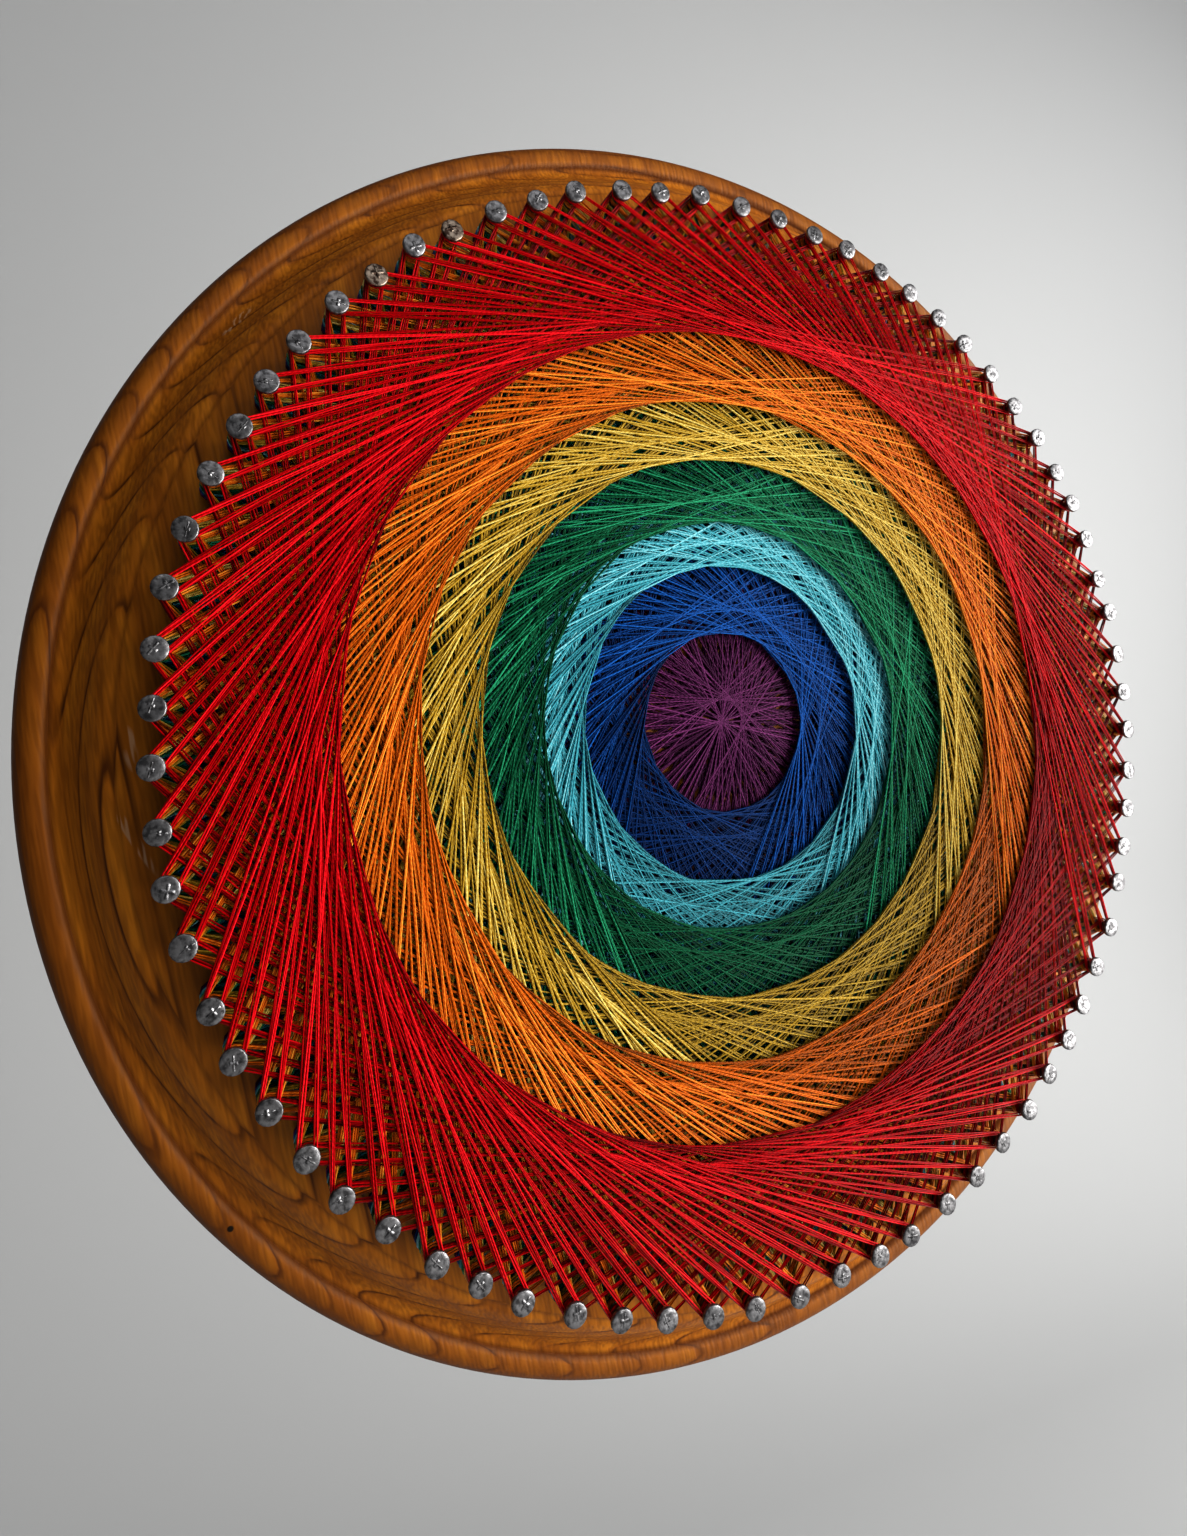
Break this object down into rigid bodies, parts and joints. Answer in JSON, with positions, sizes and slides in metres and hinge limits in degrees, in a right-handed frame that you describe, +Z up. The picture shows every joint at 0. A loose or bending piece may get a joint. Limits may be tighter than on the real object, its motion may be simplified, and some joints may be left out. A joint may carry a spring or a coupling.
{
  "type": "string art on a round nailed wooden plaque",
  "caption": "Round wooden plaque with a routed edge and a ring of nails; seven coloured threads are wound across it in webs that step down to the centre.",
  "frame": {"origin": "centre of the plaque's back face", "axes": "+Z up the wall, -Y out of the front, +X to the right as seen from the front"},
  "size_m": [0.2958, 0.028, 0.2958],
  "materials": {
    "varnished_wood": "satin varnish",
    "nail_steel": "plain, slightly dull",
    "thread_purple": "satin sewing thread",
    "thread_blue": "satin sewing thread",
    "thread_cyan": "satin sewing thread",
    "thread_green": "satin sewing thread",
    "thread_yellow": "satin sewing thread",
    "thread_orange": "satin sewing thread",
    "thread_red": "satin sewing thread"
  },
  "bodies": {
    "root": {"plaque_with_nails": "varnished_wood", "thread_purple": "thread_purple", "thread_blue": "thread_blue", "thread_cyan": "thread_cyan", "thread_green": "thread_green", "thread_yellow": "thread_yellow", "thread_orange": "thread_orange", "thread_red": "thread_red"}
  },
  "joints": []
}
